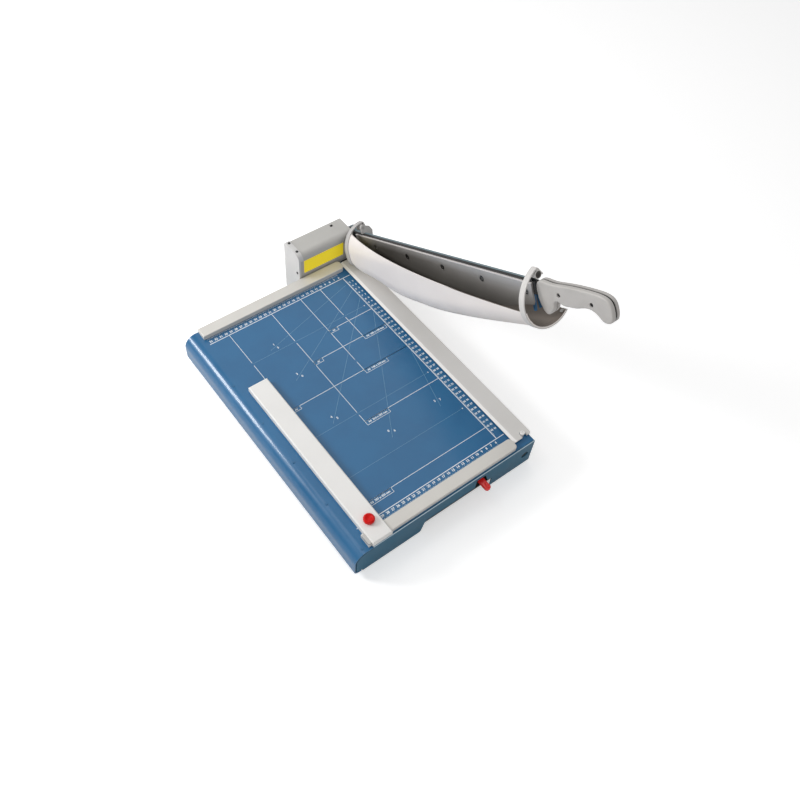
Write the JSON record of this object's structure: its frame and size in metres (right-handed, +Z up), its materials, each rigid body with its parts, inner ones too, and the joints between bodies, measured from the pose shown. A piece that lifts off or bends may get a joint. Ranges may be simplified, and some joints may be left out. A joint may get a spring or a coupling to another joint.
{
  "type": "lever paper guillotine",
  "caption": "Table-top lever guillotine for paper: blue rolled-sheet table with stops and side gauge, pressing bar, raised knife arm with trough guard that swings away, light box behind",
  "frame": {"origin": "middle of the bounding box of the whole machine with the arm raised, on the floor", "axes": "+Z up; the cut runs along Y, the operator stands at -Y; the table lies on the -X side of the cut, +X to the operator's right"},
  "size_m": [0.4231, 0.601, 0.4169],
  "materials": {
    "blue_enamel": "smooth satin blue enamel on sheet steel, faint orange peel, light scuffs along edges",
    "skirt_enamel": "satin blue enamel on folded sheet, darker in the folds",
    "rail_metal": "fine bead-blasted light grey rail with satin sheen",
    "pressed_bar": "light grey textured powder coat, worn paler on the rolled border",
    "light_plastic": "off-white moulded plastic, fine grain",
    "guard_enamel": "light grey semi-gloss enamel, bare brownish inside",
    "handle_plastic": "light grey moulded plastic with fine grain",
    "knife_steel": "ground tool steel, grinding marks across, oiled dark",
    "arm_enamel": "blue-grey enamel on forged steel, dark along the edges",
    "blue_steel": "blue enamelled pressed steel",
    "cast_bed": "black painted casting, pebbled",
    "rib_steel": "thin blue enamel on folded steel",
    "box_enamel": "warm grey textured powder coat",
    "panel_enamel": "pale grey textured powder coat",
    "bright_steel": "zinc plated, fine machining marks",
    "dark_screw": "blackened steel screw heads",
    "spring_steel": "drawn spring wire",
    "bush_bronze": "oiled bronze, turned",
    "red_plastic": "glossy red moulded plastic",
    "black_plastic": "black moulded plastic",
    "black_rubber": "black rubber, dusty sole"
  },
  "bodies": {
    "base": {"table_sheet": "blue_enamel", "front_skirt": "skirt_enamel", "rear_skirt": "skirt_enamel", "blade_bed": "cast_bed", "cross_ribs": "rib_steel", "rubber_feet": "black_rubber", "lower_blade": "knife_steel", "lower_blade_screws": "bright_steel", "back_rail": "rail_metal", "front_rail": "rail_metal", "side_rivets": "blue_enamel", "clamp_springs": "spring_steel", "guide_post": "light_plastic", "lever_bracket": "bright_steel", "pivot_bracket": "cast_bed", "bracket_screws": "bright_steel", "pivot_bolt": "bright_steel", "thrust_washers": "bright_steel", "pivot_nut": "bright_steel", "light_cover": "box_enamel", "light_end_cap": "panel_enamel", "cap_screws": "dark_screw", "light_base": "panel_enamel", "battery_case": "black_plastic", "light_module": "black_plastic"},
    "clamp": {"clamp_plate": "pressed_bar"},
    "gauge": {"gauge_bar": "light_plastic", "gauge_bracket": "bright_steel"},
    "knob": {"gauge_knob": "red_plastic"},
    "lever": {"lever_arm": "bright_steel", "lever_cap": "red_plastic"},
    "arm": {"blade_arm": "arm_enamel", "pivot_bush": "bush_bronze", "upper_blade": "knife_steel", "blade_screws": "bright_steel", "handle_left": "handle_plastic", "handle_right": "handle_plastic", "handle_screws": "dark_screw", "guard_fork": "blue_steel", "rear_ear": "guard_enamel", "front_ear": "arm_enamel", "guard_pins": "bright_steel"},
    "guard": {"guard_shell": "guard_enamel", "front_hanger": "guard_enamel", "rear_hanger": "guard_enamel", "guard_screws": "bright_steel"}
  },
  "joints": [
    {"name": "arm_swing", "type": "hinge", "parent": "base", "child": "arm", "pos_m": [0.15447, 0.26769, 0.0881], "axis": [1, 0, 0], "range_deg": [0, 31]},
    {"name": "guard_turn", "type": "hinge", "parent": "arm", "child": "guard", "pos_m": [0.16247, 0.06261, 0.23379], "axis": [0, -0.8746, 0.4848], "range_deg": [-112.1, 0]},
    {"name": "clamp_press", "type": "slide", "parent": "base", "child": "clamp", "axis": [0, 0, 1], "range_m": [-0.00251, 0], "deforming": ["clamp_springs"]},
    {"name": "gauge_slide", "type": "slide", "parent": "base", "child": "gauge", "axis": [1, 0, 0], "range_m": [0, 0.25]},
    {"name": "knob_turn", "type": "hinge", "parent": "gauge", "child": "knob", "pos_m": [-0.16053, -0.22111, 0.074], "axis": [0, 0, 1], "range_deg": [0, 180]},
    {"name": "lever_press", "type": "hinge", "parent": "base", "child": "lever", "pos_m": [0.03747, -0.19711, 0.029], "axis": [1, 0, 0], "range_deg": [0, 16]}
  ],
  "couplings": [
    {"joint": "guard_turn", "follows": "arm_swing", "ratio": -3.6},
    {"joint": "clamp_press", "follows": "arm_swing", "m_per_rad": -0.0046206}
  ]
}
